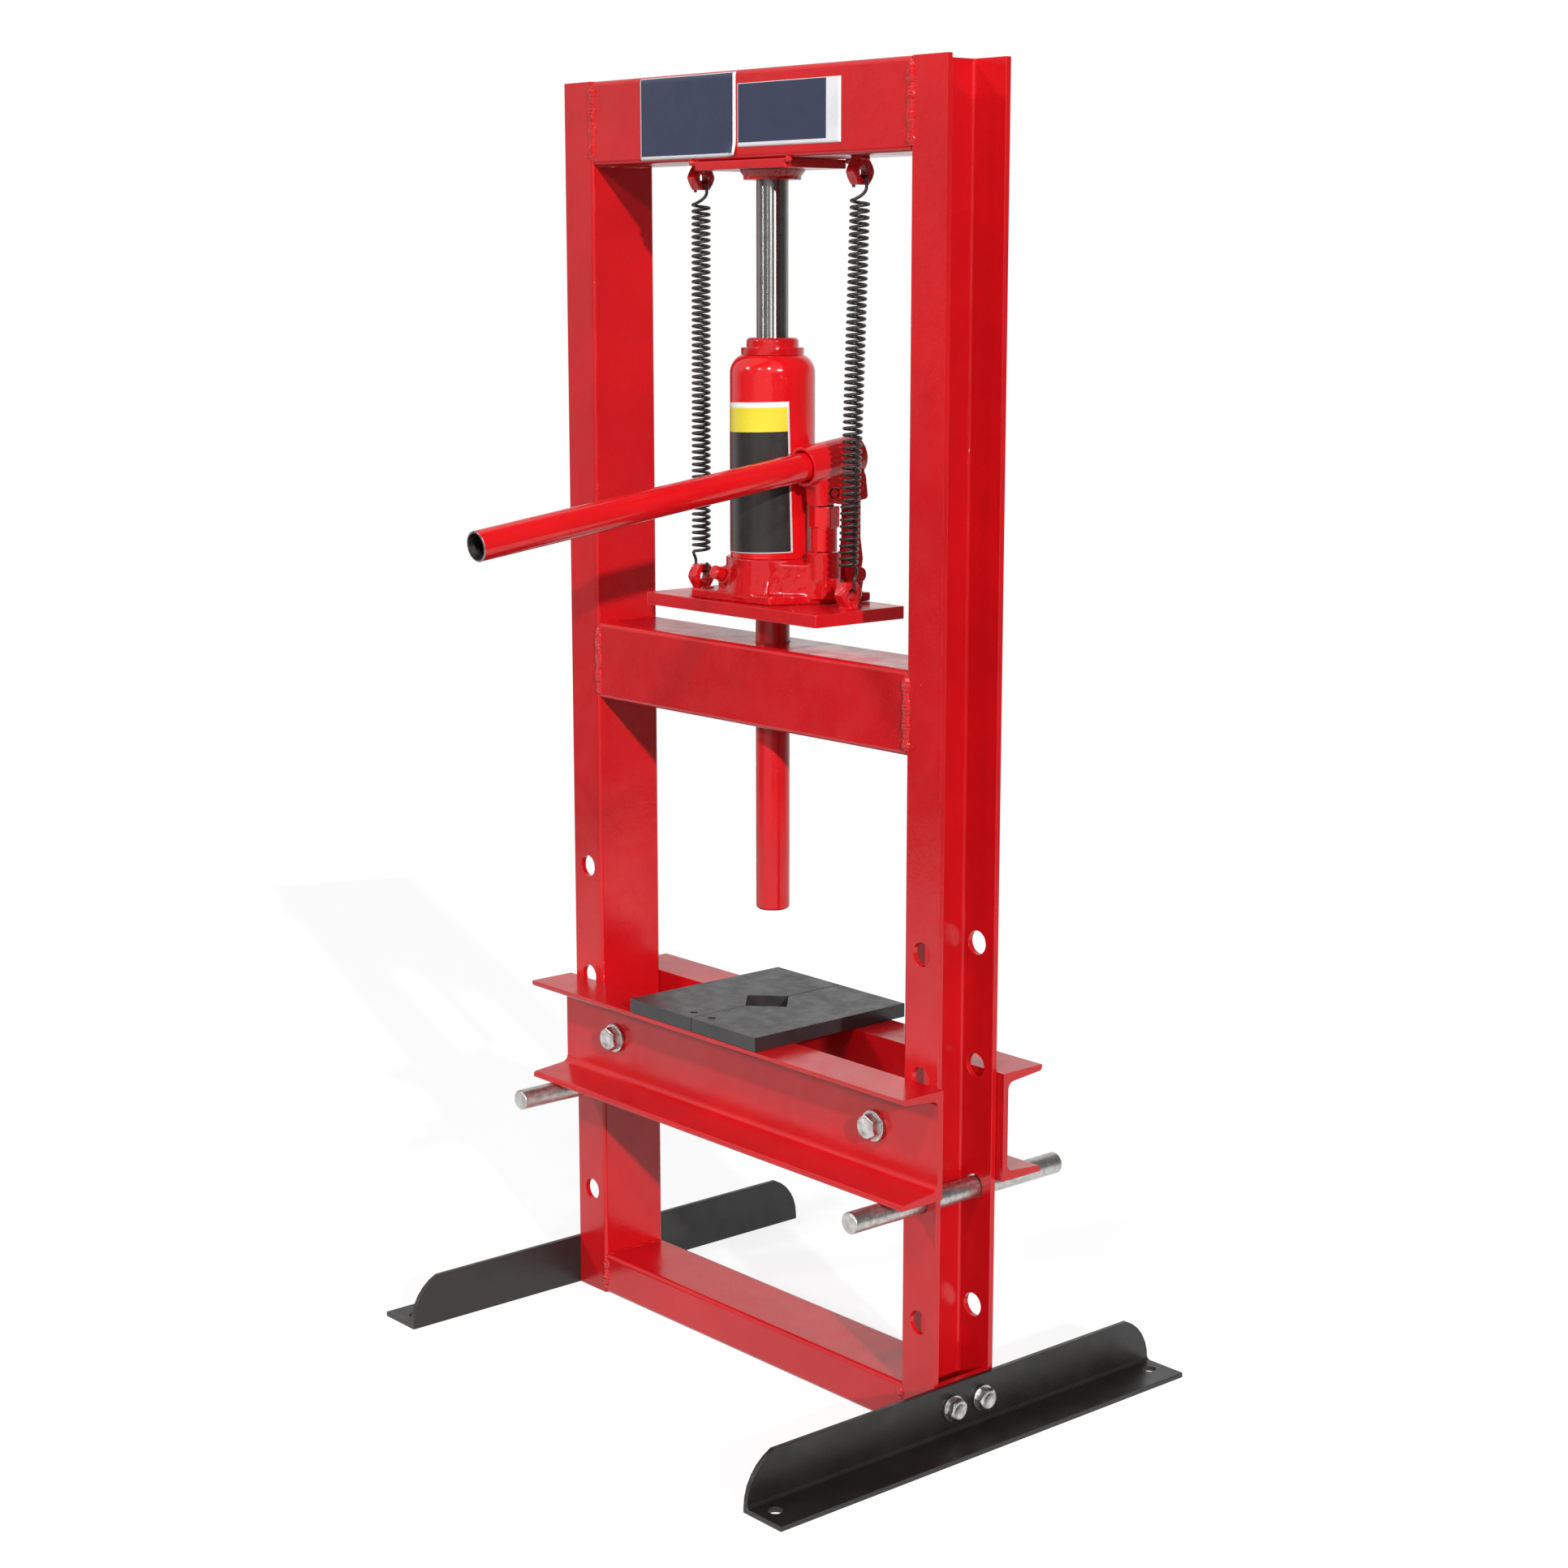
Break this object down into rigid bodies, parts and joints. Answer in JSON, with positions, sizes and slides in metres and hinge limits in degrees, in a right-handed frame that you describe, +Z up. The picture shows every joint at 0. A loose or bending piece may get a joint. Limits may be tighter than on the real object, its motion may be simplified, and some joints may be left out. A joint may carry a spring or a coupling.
{
  "type": "hydraulic shop press",
  "caption": "Small H-frame shop press: a bottle jack between two cross beams drives an arbor down onto notched press plates on a pinned bed, with return springs and angle-iron feet.",
  "frame": {"origin": "on the floor, under the middle of the bottom beam, midway between the uprights", "axes": "+Z up, +X to the press's right, -Y to its front, where the pump handle points"},
  "size_m": [0.5366, 0.5421, 1.035],
  "materials": {
    "frame_paint": "glossy red enamel over mild steel",
    "jack_paint": "glossy red enamel over cast iron and steel",
    "foot_enamel": "semi-gloss black enamel over angle iron",
    "foot_fixings": "bright zinc plated bolts, washers and nuts",
    "plate_steel": "satin black on flame-cut plate",
    "zinc_plating": "bright zinc plating",
    "hard_chrome": "ground and hard-chromed rod",
    "ground_steel": "ground steel",
    "spring_wire": "oil-blackened spring wire"
  },
  "bodies": {
    "frame": {"upright_left": "frame_paint", "upright_right": "frame_paint", "bottom_beam": "frame_paint", "middle_beam": "frame_paint", "top_beam": "frame_paint", "head_plate": "frame_paint", "ram_cup": "frame_paint", "upper_nut_left": "frame_paint", "upper_nut_right": "frame_paint", "foot_left": "foot_enamel", "foot_right": "foot_enamel", "foot_plate_left": "frame_paint", "foot_plate_right": "frame_paint", "foot_bolt_left_front": "foot_fixings", "foot_bolt_left_rear": "foot_fixings", "foot_bolt_right_front": "foot_fixings", "foot_bolt_right_rear": "foot_fixings", "foot_washer_left_front": "foot_fixings", "foot_washer_left_rear": "foot_fixings", "foot_washer_right_front": "foot_fixings", "foot_washer_right_rear": "foot_fixings", "foot_nut_left_front": "foot_fixings", "foot_nut_left_rear": "foot_fixings", "foot_nut_right_front": "foot_fixings", "foot_nut_right_rear": "foot_fixings", "ram_rod": "hard_chrome", "spring_left": "spring_wire", "spring_right": "spring_wire"},
    "carriage": {"jack_plate": "frame_paint", "arbor": "frame_paint", "lower_nut_left": "frame_paint", "lower_nut_right": "frame_paint", "jack_base": "jack_paint", "reservoir": "jack_paint", "pressure_cylinder": "ground_steel", "gland_nut": "jack_paint", "pump_cylinder": "jack_paint", "link_foot_pin": "jack_paint"},
    "release_valve": {"release_valve": "jack_paint"},
    "link": {"link": "jack_paint"},
    "plunger": {"plunger": "ground_steel"},
    "handle_socket": {"handle_socket": "jack_paint"},
    "handle": {"handle": "frame_paint"},
    "bed": {"bed_channel_front": "frame_paint", "bed_channel_rear": "frame_paint", "bed_spacer_left": "frame_paint", "bed_spacer_right": "frame_paint", "bed_bolt_left": "zinc_plating", "bed_bolt_right": "zinc_plating", "bed_washer_left": "zinc_plating", "bed_washer_right": "zinc_plating", "bed_nut_left": "zinc_plating", "bed_nut_right": "zinc_plating"},
    "press_plate_left": {"press_plate_left": "plate_steel"},
    "press_plate_right": {"press_plate_right": "plate_steel"},
    "support_pin_left": {"support_pin_left": "zinc_plating"},
    "support_pin_right": {"support_pin_right": "zinc_plating"}
  },
  "joints": [
    {"name": "carriage_slide", "type": "slide", "parent": "frame", "child": "carriage", "axis": [0, 0, 1], "range_m": [0, 0.118], "deforming": ["spring_left", "spring_right"]},
    {"name": "handle_pump", "type": "hinge", "parent": "link", "child": "handle_socket", "pos_m": [0.05017, 0.03804, 0.71825], "axis": [-1, 0, 0], "range_deg": [0, 49]},
    {"name": "link_rock", "type": "hinge", "parent": "carriage", "child": "link", "pos_m": [0.05017, 0.03804, 0.6492], "axis": [1, 0, 0], "range_deg": [0, 4.62]},
    {"name": "plunger_slide", "type": "slide", "parent": "carriage", "child": "plunger", "axis": [0, 0, 1], "range_m": [0, 0.0209]},
    {"name": "handle_pull", "type": "slide", "parent": "handle_socket", "child": "handle", "axis": [0, -0.9907, -0.1357], "range_m": [0, 0.045]},
    {"name": "release_valve_turn", "type": "hinge", "parent": "carriage", "child": "release_valve", "pos_m": [-0.016, -0.0385, 0.6485], "axis": [0, -0.9455, 0.3256], "range_deg": [0, 360]},
    {"name": "bed_lift", "type": "slide", "parent": "frame", "child": "bed", "axis": [0, 0, 1], "range_m": [0, 0.08]},
    {"name": "press_plate_left_slide", "type": "slide", "parent": "bed", "child": "press_plate_left", "axis": [-1, 0, 0], "range_m": [0, 0.06]},
    {"name": "press_plate_right_slide", "type": "slide", "parent": "bed", "child": "press_plate_right", "axis": [1, 0, 0], "range_m": [0, 0.06]},
    {"name": "support_pin_left_pull", "type": "slide", "parent": "frame", "child": "support_pin_left", "axis": [0, -1, 0], "range_m": [0, 0.15]},
    {"name": "support_pin_right_pull", "type": "slide", "parent": "frame", "child": "support_pin_right", "axis": [0, -1, 0], "range_m": [0, 0.15]}
  ],
  "couplings": [
    {"joint": "link_rock", "follows": "handle_pump", "ratio": 0.0911},
    {"joint": "plunger_slide", "follows": "handle_pump", "m_per_rad": 0.02412}
  ]
}
